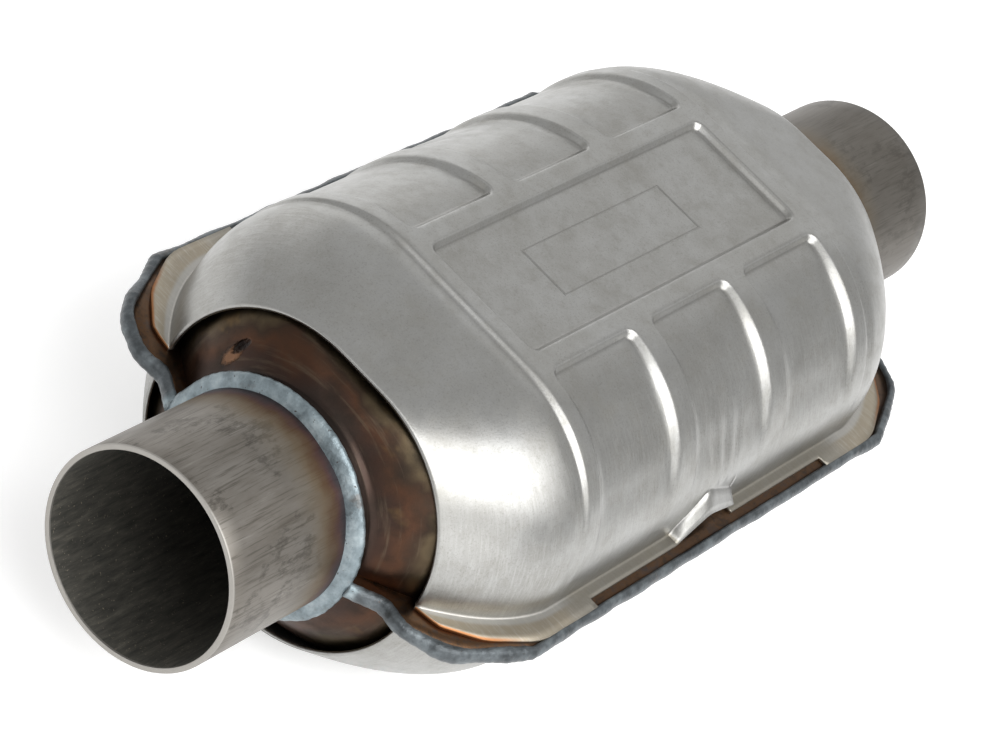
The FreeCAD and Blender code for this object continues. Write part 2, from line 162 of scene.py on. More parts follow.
def rounded_path(points, radii, step):
    """Points along an open path with rounded inner corners."""
    points = [np.array(p, float) for p in points]
    out = [points[0]]
    for before, corner, after, radius in zip(points, points[1:], points[2:], radii):
        a = (before - corner) / np.linalg.norm(before - corner)
        b = (after - corner) / np.linalg.norm(after - corner)
        half = math.acos(np.clip(a @ b, -1, 1)) / 2
        centre = corner + (a + b) / np.linalg.norm(a + b) * radius / math.sin(half)
        start = corner + a * radius / math.tan(half) - centre
        end = corner + b * radius / math.tan(half) - centre
        turn = math.atan2(start[0] * end[1] - start[1] * end[0], start @ end)
        for part in np.linspace(0, 1, 9):
            c, s = math.cos(turn * part), math.sin(turn * part)
            out.append(centre + np.array([c * start[0] - s * start[1],
                                          s * start[0] + c * start[1]]))
    out.append(points[-1])
    out = np.array(out)
    lengths = np.concatenate([[0], np.cumsum(np.linalg.norm(np.diff(out, axis=0), axis=1))])
    count = max(2, int(lengths[-1] / step) + 1)
    along = np.linspace(0, lengths[-1], count)
    return np.stack([np.interp(along, lengths, out[:, k]) for k in (0, 1)], 1)


def grid_faces(rows, columns, first=0, closed=False, keep=None):
    """Quads of a grid of points; closed joins the last column to the first."""
    faces = []
    for row in range(rows - 1):
        for column in range(columns if closed else columns - 1):
            if keep is not None and not keep(row, column):
                continue
            after = (column + 1) % columns
            faces.append((first + row * columns + column, first + row * columns + after,
                          first + (row + 1) * columns + after, first + (row + 1) * columns + column))
    return faces


def make_piece(name, verts, faces, nodes, material, flip=False):
    """A mesh piece from points in millimetres, riding on the part in place of CAD nodes."""
    mesh = bpy.data.meshes.new(name)
    if flip:
        faces = [face[::-1] for face in faces]
    mesh.from_pydata((np.asarray(verts) * MM).tolist(), [], faces)
    mesh.validate()
    mesh.polygons.foreach_set("use_smooth", [True] * len(mesh.polygons))
    mesh.materials.append(material)
    piece = bpy.data.objects.new(name, mesh)
    bpy.context.scene.collection.objects.link(piece)
    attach(piece, "root")
    if nodes:
        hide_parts(*nodes)
    return piece


def solidify(piece, thickness):
    """Gives a piece its sheet thickness, inward from its surface."""
    sheet = piece.modifiers.new("sheet", "SOLIDIFY")
    sheet.thickness = thickness * MM
    sheet.offset = -1
    sheet.use_even_offset = False
    return piece


# ---- stamped sections -----------------------------------------------------------------
def section_point(q, width, height, corner, base):
    """A point and its outward normal on a half section: q runs 0..1 along the flat top,
    1..2 round the corner and 2..3 down the side to the base height."""
    flat = width - corner
    if q <= 1:
        return flat * q, height, 0.0, 1.0
    if q <= 2:
        turn = (q - 1) * math.pi / 2
        return (flat + corner * math.sin(turn), height - corner + corner * math.cos(turn),
                math.sin(turn), math.cos(turn))
    low = height - corner
    return width, low - (q - 2) * (low - base), 1.0, 0.0


def section_along(reach, width, height, corner):
    """The same half section by the distance from the middle of the top; adds the turn."""
    flat = width - corner
    arc = corner * math.pi / 2
    if reach <= flat:
        return reach, height, 0.0, 1.0, 0.0
    if reach <= flat + arc:
        turn = (reach - flat) / corner
        return (flat + corner * math.sin(turn), height - corner + corner * math.cos(turn),
                math.sin(turn), math.cos(turn), turn)
    return width, height - corner - (reach - flat - arc), 1.0, 0.0, math.pi / 2


def section_length(width, height, corner, base):
    """Distance along a half section from the middle of the top down to a height."""
    low = height - corner
    if base > low:
        return width - corner + corner * math.acos((base - low) / corner)
    return width - corner + corner * math.pi / 2 + low - base


def shield_section(x):
    """Half width, top height and corner radius of the shield at x."""
    x = abs(x)
    drop = SHIELD_RISER * float(smooth((x - RIB_END + 0.3) / (SHIELD_RISER + 0.6)))
    along = max(0.0, (x - CONE_START) / (ARCH_X - CONE_START))
    taper = (0.20 * along * along / (along + 0.03) + 0.80 * along ** 2) / TAPER_AT_ARCH
    width = SHIELD_HALF_WIDTH + (ARCH_SECTION[0] - SHIELD_HALF_WIDTH) * taper
    low_top = SHIELD_HALF_HEIGHT - SHIELD_RISER
    ease = along * along / (along + 0.06)
    height = SHIELD_HALF_HEIGHT - drop + (ARCH_SECTION[1] - low_top) * ease * 1.06
    corner = SHIELD_CORNER_R + (ARCH_SECTION[2] - SHIELD_CORNER_R) * along
    return width, height, corner


def box_distance(x, y, half_x, half_y, radius):
    """Signed distance to a rounded rectangle, negative inside."""
    dx = abs(x) - half_x + radius
    dy = abs(y) - half_y + radius
    return math.hypot(max(dx, 0), max(dy, 0)) + min(max(dx, dy), 0) - radius


def panel_depth(x, across, turn):
    """How far the stamping is pressed in; across is measured over the section from the top."""
    edge = box_distance(x, across, TOP_PANEL[0], TOP_PANEL[1], PANEL_CORNER_R)
    pitch = SIDE_PANEL_LENGTH + PANEL_RIB_WIDTH
    middle = pitch * min(1, max(-1, round(x / pitch)))
    side = box_distance(x - middle, across - SIDE_PANEL_EDGE - SIDE_PANEL_REACH,
                        SIDE_PANEL_LENGTH / 2, SIDE_PANEL_REACH, PANEL_CORNER_R)
    fade = PANEL_DEPTH * float(smooth((PANEL_FADE_END - turn) / (PANEL_FADE_END - PANEL_FADE)))
    wall = PANEL_WALL + SIDE_WALL_EXTRA * float(smooth((across - 27) / 14))
    top_depth = PANEL_DEPTH * float(smooth((TOP_PANEL_EASE - edge) / PANEL_WALL))
    return max(top_depth, fade * float(smooth((SIDE_PANEL_EASE - side) / wall)))


def scoop_rise(x):
    """Rise of the lifted strip's lip and of its fold on the wall, at x."""
    if x < SCOOP["start"] or x > SCOOP["mouth"]:
        return 0.0, 0.0
    near = np.clip(x + np.linspace(-2, 2, 9), SCOOP["start"], SCOOP["mouth"])
    marks = (SCOOP["start"], SCOOP["crest"], SCOOP["mouth"])
    lip, fold = (float(np.interp(near, marks, SCOOP[key]).mean()) for key in ("lips", "folds"))
    start = float(smooth((x - SCOOP["start"]) / 2.0))
    return lip * start, fold * start


def flutes(x, z):
    """Soft folds in the wall that fan out upwards from the scoop."""
    up = z - FLUTE_FOOT
    if up < 0 or up > FLUTE_HEIGHT or abs(x) > FLUTE_HALF_LENGTH:
        return 0.0
    across = (x + 1.0) / (0.75 + 0.028 * up)
    ends = float(smooth(up / 4)) * float(smooth((FLUTE_HEIGHT - up) / 22))
    window = math.exp(-(across / 6.5) ** 2) * ends
    return FLUTE_DEPTH * window * math.cos(across * 1.25 + 0.4)


def edge_lookup(path, radii):
    """The outline's half width as a function of |x|."""
    points = rounded_path(path, radii, 0.25)
    order = np.argsort(points[:, 0])
    return points[order, 0], points[order, 1]


WING_X, WING_Y = edge_lookup(WING_PATH, WING_RADII)


def shield_edge(x):
    """Half width of the shield's edge at x: narrow strip in the middle, then the wings."""
    if abs(x) < STRIP_HALF_LENGTH:
        return STRIP_HALF_WIDTH
    return float(np.interp(abs(x), WING_X, WING_Y))


def spread(spans):
    """Sample positions from (start, end, step) spans, without repeats."""
    values = []
    for start, end, step in spans:
        count = max(1, int(round((end - start) / step)))
        values += [start + (end - start) * i / count for i in range(count + 1)]
    return sorted(set(round(v, 4) for v in values))


def shield_stations():
    """Cross-section positions: dense at panel walls, at the risers and at the scoop."""
    wall = SIDE_PANEL_LENGTH / 2
    next_wall = wall + PANEL_RIB_WIDTH
    end_wall = TOP_PANEL[0]
    half = [(wall - 2.6, wall + 0.6, 0.4), (wall + 0.6, next_wall - 0.6, 1.6),
            (next_wall - 0.6, next_wall + 2.6, 0.4), (next_wall + 2.6, 56.99, 2.3),
            (57.01, end_wall - 2.6, 1.8), (end_wall - 2.6, end_wall + 0.6, 0.4),
            (end_wall + 0.6, RIB_END - 0.4, 1.4), (RIB_END - 0.4, 70.9, 0.4), (70.9, 76, 1.2),
            (76, 104.0, 2.1), (104.0, ARCH_X, 0.85)]
    middle = [(2.6 - wall, SCOOP["start"], 0.4), (SCOOP["start"], SCOOP["mouth"], 1.2),
              (SCOOP["mouth"] + 0.01, SCOOP["mouth"] + SCOOP["slit"], 1.2),
              (SCOOP["mouth"] + SCOOP["slit"] + 0.01, wall - 2.6, 1.4)]
    outer = spread(half)
    return sorted(set(outer + [-v for v in outer] + spread(middle)))


WALL_REACHES = spread([(0, 16.8, 2.1), (16.8, 20.2, 0.42), (20.2, 24.6, 1.1), (24.6, 28.4, 0.42),
                       (28.4, 86.7, 1.35), (86.7, 90.5, 1.9)])


def shield_row(x, side):
    """Half a section of the shield at x, from the top out to the flange edge. Each point
    also carries a mark: 0 to 1 pressed in, or 0 to -1 over the flange to its edge."""
    width, height, corner = shield_section(x)
    edge = shield_edge(x)
    lip, fold = scoop_rise(x)
    fillet = min(SHIELD_FILLET, max(0.02, (edge - width) / 2.2))
    base = SHIELD_TOP + fillet
    plain = section_length(width, height, corner, base)
    end = section_length(width, height, corner, base + fold)
    scale = plain / WALL_REACHES[-1]
    row = []
    for reach in WALL_REACHES:
        reach = reach * scale
        bend = end - SCOOP_BEND
        if fold and reach > bend:
            reach = bend + (reach - bend) * SCOOP_BEND / (plain - bend)
        y, z, ny, nz, turn = section_along(reach, width, height, corner)
        depth = panel_depth(x, reach, turn) if abs(x) < RIB_END else 0.0
        pressed = min(1.0, depth / PANEL_DEPTH)
        depth += SHEET_WAVER * (1 + lump(x, y * side, z, 24.0)) + flutes(x, z)
        row.append((x, side * (y - ny * depth), z - nz * depth, pressed))
    last_y, last_z = row[-1][1] * side, row[-1][2]
    for angle in np.linspace(0, math.pi / 2, 5)[1:]:
        row.append((x, side * (last_y + fillet * (1 - math.cos(angle))),
                    last_z - fillet * math.sin(angle), 0.0))
    start_y, start_z = row[-1][1] * side, row[-1][2]
    for part in (0.3, 0.65, 1.0):
        row.append((x, side * (start_y + (edge - start_y) * part),
                    start_z + (SHIELD_TOP + lip - start_z) * part, -part))
    return row


def shield_piece(name, node, upward, material):
    """One stamped half of the heat shield, slit beside each scoop's mouth."""
    rows = []
    for x in shield_stations():
        rows.append(shield_row(x, -1)[:0:-1] + shield_row(x, 1))
    xs = [row[0][0] for row in rows]
    columns = len(rows[0])
    mouth = SCOOP["mouth"]
    bend_column = FLANGE_COLUMNS + sum(reach > SCOOP["crack"] for reach in WALL_REACHES)

    def keep(row, column):
        from_edge = min(column, columns - 2 - column)
        in_slit = mouth - 0.001 <= xs[row] < mouth + SCOOP["slit"] - 0.01
        past_mouth = abs(xs[row] - mouth) < 0.001
        if in_slit and from_edge < FLANGE_COLUMNS:
            return False
        return not (past_mouth and from_edge < bend_column)

    verts = [(x, y, z * upward) for row in rows for x, y, z, _ in row]
    piece = make_piece(name, verts, grid_faces(len(rows), columns, keep=keep), [node],
                       material, flip=upward > 0)
    marks = piece.data.attributes.new("mark", "FLOAT", "POINT")
    marks.data.foreach_set("value", [point[3] for row in rows for point in row])
    return solidify(piece, SHIELD_SHEET)


# ---- can ------------------------------------------------------------------------------
def can_section(x):
    """Half width, top height and corner radius of the can at x."""
    x = abs(x)
    along = min(1.0, max(0.0, (x - CAN_BODY_HALF_LENGTH) / (NECK_X - CAN_BODY_HALF_LENGTH)))
    neck = COLLAR_R + 0.2 * (1 - along)
    return (neck + (CAN_HALF_WIDTH - neck) * (1 - along ** 2.1),
            neck + (CAN_HALF_HEIGHT - neck) * (1 - along ** 3.4),
            CAN_CORNER_R + (COLLAR_R - 0.02 - CAN_CORNER_R) * along)


def can_piece(name, node, upward, material):
    """One half of the can with its end cones and half collars."""
    half = spread([(0, 70, 10), (70, 90, 2), (90, NECK_X, 0.8), (NECK_X, COLLAR_END, 0.9)])
    xs = sorted(set(half + [-x for x in half]))
    q_values = np.concatenate([np.linspace(0, 1, 9), np.linspace(1, 2, 33)[1:],
                               np.linspace(2, 3, 5)[1:]])
    verts = []
    for x in xs:
        width, height, corner = can_section(x)
        soften = 1.6 * math.exp(-((abs(x) - NECK_X) / 1.8) ** 2)
        half_row = [section_point(q, width, height, corner, 0.0) for q in q_values]
        ring = [(y + ny * soften * 0.3, z + nz * soften * 0.3) for y, z, ny, nz in half_row]
        row = [(x, -y, z * upward) for y, z in ring[:0:-1]] + [(x, y, z * upward) for y, z in ring]
        verts += row
    columns = 2 * len(q_values) - 1
    piece = make_piece(name, verts, grid_faces(len(xs), columns), [node],
                       material, flip=upward > 0)
    return solidify(piece, CAN_SHEET)


def flange_path(step):
    """The flange's outer edge on one side, from neck to neck."""
    quarter = rounded_path(FLANGE_PATH, FLANGE_RADII, step)
    straight = np.linspace(FLANGE_PATH[-1][0], -FLANGE_PATH[-1][0], int(170 / step))[1:-1]
    middle = np.stack([straight, np.full_like(straight, FLANGE_HALF_WIDTH)], 1)
    other = quarter[::-1] * [-1, 1]
    return np.concatenate([quarter, middle, other])


def can_flange_piece(name, side, material):
    """The bare flange, both sheets thick, from the can's wall to the bead."""
    edge = flange_path(1.5)
    lengths = np.concatenate([[0], np.cumsum(np.linalg.norm(np.diff(edge, axis=0), axis=1))])
    shoulder = lengths[np.argmin(np.abs(edge[:, 0] - FLANGE_PATH[-1][0]))]
    total = lengths[-1]
    verts = []
    for (x, y), length in zip(edge, lengths):
        reach = min(length, total - length)
        root_x = x
        if reach < shoulder:
            root_x = COLLAR_END - (COLLAR_END - FLANGE_PATH[-1][0]) * reach / shoulder
            root_x = math.copysign(root_x, x)
        root_y = can_section(root_x)[0] - 0.8
        outer_y = y + 0.6
        for z in (CAN_SHEET, -CAN_SHEET):
            flat = [root_y + (outer_y - root_y) * part for part in (0, 0.3, 0.65, 1)]
            flat_x = [root_x + (x - root_x) * part for part in (0, 0.3, 0.65, 1)]
            row = [(fx, side * fy, z) for fx, fy in zip(flat_x, flat)]
            verts += row if z > 0 else row[::-1]
    faces = grid_faces(len(edge), 8, closed=True)
    return make_piece(name, verts, faces, [], material, flip=side > 0)


# ---- welds ----------------------------------------------------------------------------
def seam_piece(name, node, side, material):
    """The bead along the flange's edge: lively round the ends, even along the flanks."""
    path = flange_path(SEAM_STEP)
    tangents = np.gradient(path, axis=0)
    tangents /= np.linalg.norm(tangents, axis=1)[:, None]
    normals = np.stack([-tangents[:, 1], tangents[:, 0]], 1)
    if normals[len(path) // 2][1] < 0:
        normals = -normals
    verts = []
    count = 14
    travelled = 0.0
    for (x, y), normal in zip(path, normals):
        travelled += SEAM_STEP
        ripple = abs(math.sin(travelled * math.pi / 2.6 + 0.8 * lump(x, y * side, 5, 7)))
        rough = 1.0 - 0.6 * (1 - smooth((abs(x) - 62) / 20))
        body = SEAM_BEAD_R * (0.68 + 0.12 * rough + rough * 0.14 * lump(x, y * side, 0, 11.0)
                              + rough * (0.07 * lump(x, y * side, 9, 3.5) + 0.05 * ripple))
        sag = 0.35 * lump(x, y * side, 30, 16.0)
        outward = 0.88 + 0.22 * lump(x, y * side, 60, 8.0)
        for step in range(count):
            angle = 2 * math.pi * step / count
            reach = body * math.cos(angle)
            reach = reach * outward if reach > 0 else reach * 0.35
            verts.append((x + normal[0] * reach, side * (y + normal[1] * reach),
                          body * math.sin(angle) + sag))
    faces = grid_faces(len(path), count, closed=True)
    last = (len(path) - 1) * count
    faces += [tuple(range(count))[::-1], tuple(range(last, last + count))]
    return make_piece(name, verts, faces, [node], material, flip=side < 0)


def neck_piece(name, node, end, material):
    """The lumpy fillet bead round a tube; end is -1 at the inlet and 1 at the outlet."""
    throw = (NECK_BEAD_R - COLLAR_R) * 0.75
    profile = [(1.1, -0.4), (0.9, 0.25), (0.5, 0.75), (-0.1, 1.0), (-0.9, 0.93), (-1.5, 0.62),
               (-2.0, 0.20), (-2.4, -0.30), (-2.7, -0.85)]
    around = 300
    verts = []
    for step in range(around):
        angle = 2 * math.pi * step / around
        c, s = math.cos(angle), math.sin(angle)
        low = lump(c * 30, s * 30, 7 * end, 13.0)
        fine = lump(c * 30, s * 30, 20 * end, 4.0)
        ripple = abs(math.sin(angle * 33 + 1.5 * low))
        for back, rise in profile:
            swell = 0.90 + 0.20 * low + 0.14 * fine + 0.07 * ripple
            r = COLLAR_R + throw * rise * (swell if rise > 0 else 1)
            x = COLLAR_END - back * (1 + 0.12 * low) + 0.35 * low
            verts.append((end * x, r * c, r * s))
    faces = []
    columns = len(profile)
    for step in range(around):
        after = (step + 1) % around
        for column in range(columns - 1):
            faces.append((step * columns + column, after * columns + column,
                          after * columns + column + 1, step * columns + column + 1))
    return make_piece(name, verts, faces, [node], material, flip=end > 0)


# ---- tubes ----------------------------------------------------------------------------
def tube_piece(name, node, end, material):
    """A drawn tube with broken edges at its mouth."""
    inner = TUBE_R - TUBE_WALL
    ease = 0.3
    profile = [(TUBE_INNER_END, inner), (TUBE_MOUTH - 6, inner), (TUBE_MOUTH - ease, inner),
               (TUBE_MOUTH - 0.08, inner + 0.1), (TUBE_MOUTH, inner + ease),
               (TUBE_MOUTH, TUBE_R - ease), (TUBE_MOUTH - 0.08, TUBE_R - 0.1),
               (TUBE_MOUTH - ease, TUBE_R), (TUBE_MOUTH - 6, TUBE_R), (TUBE_INNER_END, TUBE_R)]
    around = 160
    verts = []
    for step in range(around):
        angle = 2 * math.pi * step / around
        for x, r in profile:
            verts.append((end * x, r * math.cos(angle), r * math.sin(angle)))
    columns = len(profile)
    faces = []
    for step in range(around):
        after = (step + 1) % around
        for column in range(columns):
            following = (column + 1) % columns
            faces.append((step * columns + column, after * columns + column,
                          after * columns + following, step * columns + following))
    piece = make_piece(name, verts, faces, [node], material, flip=end < 0)
    piece.data.set_sharp_from_angle(angle=math.radians(35))
    return piece


# ---- materials ------------------------------------------------------------------------
class Nodes:
    """Short names for building one node material; sockets or numbers go in, sockets out."""

    def __init__(self, name, metallic, roughness):
        self.material = bpy.data.materials.new(name)
        self.material.use_nodes = True
        self.tree = self.material.node_tree
        self.shader = self.tree.nodes["Principled BSDF"]
        self.shader.inputs["Metallic"].default_value = metallic
        self.shader.inputs["Roughness"].default_value = roughness
        place = self.tree.nodes.new("ShaderNodeTexCoord").outputs["Object"]
        scaled = self.tree.nodes.new("ShaderNodeVectorMath")
        scaled.operation = "SCALE"
        scaled.inputs["Scale"].default_value = 1 / MM
        self.tree.links.new(place, scaled.inputs[0])
        self.place = scaled.outputs[0]
        parts = self.tree.nodes.new("ShaderNodeSeparateXYZ")
        self.tree.links.new(self.place, parts.inputs[0])
        self.x, self.y, self.z = parts.outputs

    def put(self, value, socket):
        if isinstance(value, bpy.types.NodeSocket):
            self.tree.links.new(value, socket)
        else:
            socket.default_value = value

    def attribute(self, name):
        node = self.tree.nodes.new("ShaderNodeAttribute")
        node.attribute_name = name
        return node.outputs["Fac"]

    def math(self, operation, a, b=0.0):
        node = self.tree.nodes.new("ShaderNodeMath")
        node.operation = operation
        self.put(a, node.inputs[0])
        self.put(b, node.inputs[1])
        return node.outputs[0]

    def stretched(self, stretch):
        node = self.tree.nodes.new("ShaderNodeVectorMath")
        node.operation = "MULTIPLY"
        self.put(self.place, node.inputs[0])
        node.inputs[1].default_value = stretch
        return node.outputs[0]

    def noise(self, size, detail=3.0, stretch=(1, 1, 1), rough=0.5, where=None):
        """Noise of a grain size in millimetres."""
        node = self.tree.nodes.new("ShaderNodeTexNoise")
        self.put(where or self.stretched(stretch), node.inputs["Vector"])
        node.inputs["Scale"].default_value = 1 / size
        node.inputs["Detail"].default_value = detail
        node.inputs["Roughness"].default_value = rough
        return node.outputs["Fac"]

    def span(self, value, low, high, to_low=0.0, to_high=1.0):
        """Smooth step of a value from low to high."""
        node = self.tree.nodes.new("ShaderNodeMapRange")
        node.interpolation_type = "SMOOTHSTEP"
        for socket, given in zip(node.inputs, (value, low, high, to_low, to_high)):
            self.put(given, socket)
        return node.outputs[0]

    def band(self, value, centre, width):
        """1 at the centre, 0 a width away."""
        return self.span(self.math("ABSOLUTE", self.math("SUBTRACT", value, centre)), width, 0.0)

    def mix(self, factor, a, b):
        node = self.tree.nodes.new("ShaderNodeMix")
        node.data_type = "RGBA"
        self.put(factor, node.inputs["Factor"])
        for value, socket in ((a, node.inputs[6]), (b, node.inputs[7])):
            self.put(value if isinstance(value, bpy.types.NodeSocket) else (*value, 1.0), socket)
        return node.outputs[2]

    def ramp(self, value, stops):
        node = self.tree.nodes.new("ShaderNodeValToRGB")
        self.put(value, node.inputs[0])
        elements = node.color_ramp.elements
        while len(elements) < len(stops):
            elements.new(0.5)
        for element, (position, colour) in zip(elements, stops):
            element.position = position
            element.color = (*colour, 1.0)
        return node.outputs[0]

    def bump(self, height, strength, distance):
        """Adds height in millimetres to what the shader's normal already has."""
        node = self.tree.nodes.new("ShaderNodeBump")
        node.inputs["Strength"].default_value = strength
        node.inputs["Distance"].default_value = distance * MM
        self.put(height, node.inputs["Height"])
        old = self.shader.inputs["Normal"].links
        if old:
            self.tree.links.new(old[0].from_socket, node.inputs["Normal"])
        self.tree.links.new(node.outputs[0], self.shader.inputs["Normal"])

    def finish(self, colour, roughness=None):
        self.put(colour, self.shader.inputs["Base Color"])
        if roughness is not None:
            self.put(roughness, self.shader.inputs["Roughness"])
        return self.material


def srgb(*levels):
    """Linear colour of 0..255 display levels."""
    return tuple(((v / 255 + 0.055) / 1.055) ** 2.4 if v > 10 else v / 255 / 12.92 for v in levels)


def shield_steel():
    """Satin stainless sheet: mottled, finely brushed, straw tinted on the bare wings."""
    m = Nodes("shield_steel", 1.0, 0.4)
    blotch = m.noise(20, 5.0, rough=0.62)
    cloud = m.noise(6, 5.0, rough=0.7)
    mottle = m.noise(1.6, 4.0, rough=0.7)
    brushed = m.noise(0.55, 3.0, stretch=(1, 0.10, 0.10), rough=0.7)
    colour = m.ramp(blotch, [(0.32, srgb(148, 147, 143)), (0.68, srgb(162, 162, 160))])
    colour = m.mix(m.span(cloud, 0.45, 0.75, 0, 0.45), colour, srgb(139, 137, 130))
    colour = m.mix(m.span(mottle, 0.5, 0.8, 0, 0.35), colour, srgb(172, 172, 170))
    side = m.span(m.math("ABSOLUTE", m.y), 30, 55)
    lines = m.math("MULTIPLY", m.span(brushed, 0.4, 0.75, 0, 0.45), side)
    colour = m.mix(lines, colour, srgb(180, 180, 178))
    pressed = m.attribute("mark")
    upper = m.span(m.math("ABSOLUTE", m.y), 40, 28)
    # Painted shade: a darker line at the foot of the top panel's walls. Painted highlight: a lighter
    # line on the raised crest beside them. Both are only near the top.
    painted_shade_foot = m.math("MULTIPLY", m.math("MULTIPLY", m.band(pressed, 0.88, 0.16), upper), 0.30)
    crest = m.math("MULTIPLY", m.math("MULTIPLY", m.band(pressed, 0.10, 0.14), upper), 0.40)
    colour = m.mix(painted_shade_foot, colour, srgb(104, 102, 98))
    colour = m.mix(crest, colour, srgb(188, 188, 186))
    fleck = m.noise(0.55, 2.0, rough=0.8)
    colour = m.mix(m.span(fleck, 0.50, 0.72, 0, 0.35), colour, srgb(118, 116, 111))
    flat = m.span(m.math("ABSOLUTE", m.z), 3.4, 2.7)
    wing_end = m.span(m.math("ABSOLUTE", m.x), 58, 72)
    straw = m.mix(m.noise(9, 3.0), srgb(168, 158, 140), srgb(150, 143, 130))
    wing = m.mix(m.span(pressed, -0.12, -0.35), srgb(172, 170, 165), straw)
    wing = m.mix(m.span(brushed, 0.45, 0.75, 0, 0.5), wing, srgb(188, 184, 175))
    burnt = m.math("MULTIPLY", m.span(pressed, -0.82, -0.97),
                   m.span(m.math("ABSOLUTE", m.x), 84, 96))
    wing = m.mix(m.math("MULTIPLY", burnt, 0.8), wing, srgb(160, 98, 42))
    colour = m.mix(m.math("MULTIPLY", flat, wing_end), colour, wing)
    colour = m.mix(m.math("MULTIPLY", flat, m.span(wing_end, 1, 0, 0, 0.6)), colour,
                   srgb(140, 133, 118))
    grain = m.math("MULTIPLY", m.math("MULTIPLY", brushed, side), 0.02)
    speck = m.math("MULTIPLY", m.noise(0.4, 2.0), 0.02)
    m.bump(m.math("ADD", grain, speck), 1.0, 1.0)
    m.bump(m.math("MULTIPLY", stamped_line(m), -0.16), 1.0, 1.0)
    line_shade = m.math("MULTIPLY", stamped_line(m), 0.22)
    colour = m.mix(line_shade, colour, srgb(105, 103, 97))
    rough = m.math("ADD", m.span(cloud, 0.3, 0.75, 0.32, 0.42), m.math("MULTIPLY", flat, 0.12))
    return m.finish(colour, rough)


def stamped_line(m):
    """A thin rectangle pressed into the top panel, 1 on the line."""
    low, high, half_width = (-34.5, -8.5), (29.0, 7.5), 0.25
    distances = []
    for axis, index in ((m.x, 0), (m.y, 1)):
        centre, half = (low[index] + high[index]) / 2, (high[index] - low[index]) / 2
        offset = m.math("ABSOLUTE", m.math("SUBTRACT", axis, centre))
        distances.append(m.math("SUBTRACT", offset, half))
    outline = m.math("ABSOLUTE", m.math("MAXIMUM", distances[0], distances[1]))
    on_top = m.span(m.z, 44, 45.5)
    return m.math("MULTIPLY", m.span(outline, half_width + 0.25, half_width - 0.2), on_top)


def can_steel():
    """Stainless turned brown by heat, with reddish and straw bands near the neck; darker under the
    shield's arch as painted shade, with lighter rings round the cones as painted highlights.
    """
    m = Nodes("can_steel", 1.0, 0.34)
    reach = m.math("ABSOLUTE", m.x)
    wander = m.math("MULTIPLY", m.math("SUBTRACT", m.noise(13, 3.0), 0.5), 12.0)
    # The darker stops out to about x = 100, under the shield's arch, are painted shade. The reddish
    # and straw bands near the neck are heat tint.
    stops = [(0.0, srgb(60, 56, 49)), (0.42, srgb(52, 47, 41)), (0.56, srgb(72, 64, 52)),
             (0.66, srgb(84, 73, 57)), (0.74, srgb(62, 50, 42)), (0.82, srgb(76, 54, 42)),
             (0.90, srgb(60, 46, 40)), (1.0, srgb(52, 46, 43))]
    colour = m.ramp(m.span(m.math("ADD", reach, wander), 84, 119), stops)
    patch = m.noise(11, 3.0, where=m.stretched((1.0, 1.0, 1.4)))
    colour = m.mix(m.span(patch, 0.62, 0.76, 0, 0.45), colour, srgb(112, 90, 58))
    colour = m.mix(m.span(patch, 0.30, 0.20, 0, 0.6), colour, srgb(42, 50, 58))
    soot = m.noise(9, 5.0, rough=0.6)
    colour = m.mix(m.span(soot, 0.45, 0.80, 0, 0.65), colour, srgb(42, 38, 34))
    # Painted highlights: fine lighter streaks running round the cones.
    painted_highlight_rings = m.noise(1.1, 4.0, stretch=(1.0, 0.06, 0.06), rough=0.6)
    colour = m.mix(m.span(painted_highlight_rings, 0.52, 0.75, 0, 0.45), colour, srgb(96, 84, 70))
    flange = m.span(m.math("ABSOLUTE", m.z), 2.2, 1.6)
    rust = m.noise(3.5, 4.0, rough=0.65)
    brown = m.ramp(rust, [(0.3, srgb(58, 50, 44)), (0.5, srgb(88, 66, 48)), (0.7, srgb(70, 62, 58))])
    colour = m.mix(flange, colour, brown)
    scar, groove = gouge(m)
    colour = m.mix(m.math("MULTIPLY", scar, 0.75), colour, srgb(122, 90, 68))
    colour = m.mix(m.math("MULTIPLY", groove, 0.95), colour, srgb(18, 14, 13))
    m.bump(m.noise(0.8, 3.0), 0.35, 0.05)
    m.bump(m.math("SUBTRACT", m.math("MULTIPLY", scar, 0.5), groove), 1.0, 1.0)
    return m.finish(colour, m.span(soot, 0.3, 0.8, 0.28, 0.5))


def gouge(m):
    """A short scrape on the inlet cone: a bright lip, and a dark groove that starts in it
    and runs on along the scrape."""
    along = (0.53, -0.48, 0.70)
    lip = streak_at(m, (-111.4, 28.4, 19.4), along, 6.2, 2.1)
    groove = streak_at(m, (-110.4, 28.2, 22.4), along, 5.4, 1.5)
    return lip, groove


def streak_at(m, centre, along, half_length, half_width):
    """1 inside a ragged ellipsoid that lies along a direction, fading to 0 at its edge."""
    offsets = [m.math("SUBTRACT", axis, value) for axis, value in zip((m.x, m.y, m.z), centre)]
    parts = [m.math("MULTIPLY", offset, share) for offset, share in zip(offsets, along)]
    run = m.math("ADD", m.math("ADD", parts[0], parts[1]), parts[2])
    squares = [m.math("MULTIPLY", offset, offset) for offset in offsets]
    total = m.math("ADD", m.math("ADD", squares[0], squares[1]), squares[2])
    run_square = m.math("MULTIPLY", run, run)
    aside = m.math("DIVIDE", m.math("SUBTRACT", total, run_square), half_width ** 2)
    reach = m.math("ADD", m.math("DIVIDE", run_square, half_length ** 2), aside)
    ragged = m.math("MULTIPLY", m.math("SUBTRACT", m.noise(1.1, 3.0), 0.5), 1.0)
    return m.span(m.math("ADD", reach, ragged), 1.25, 0.25)


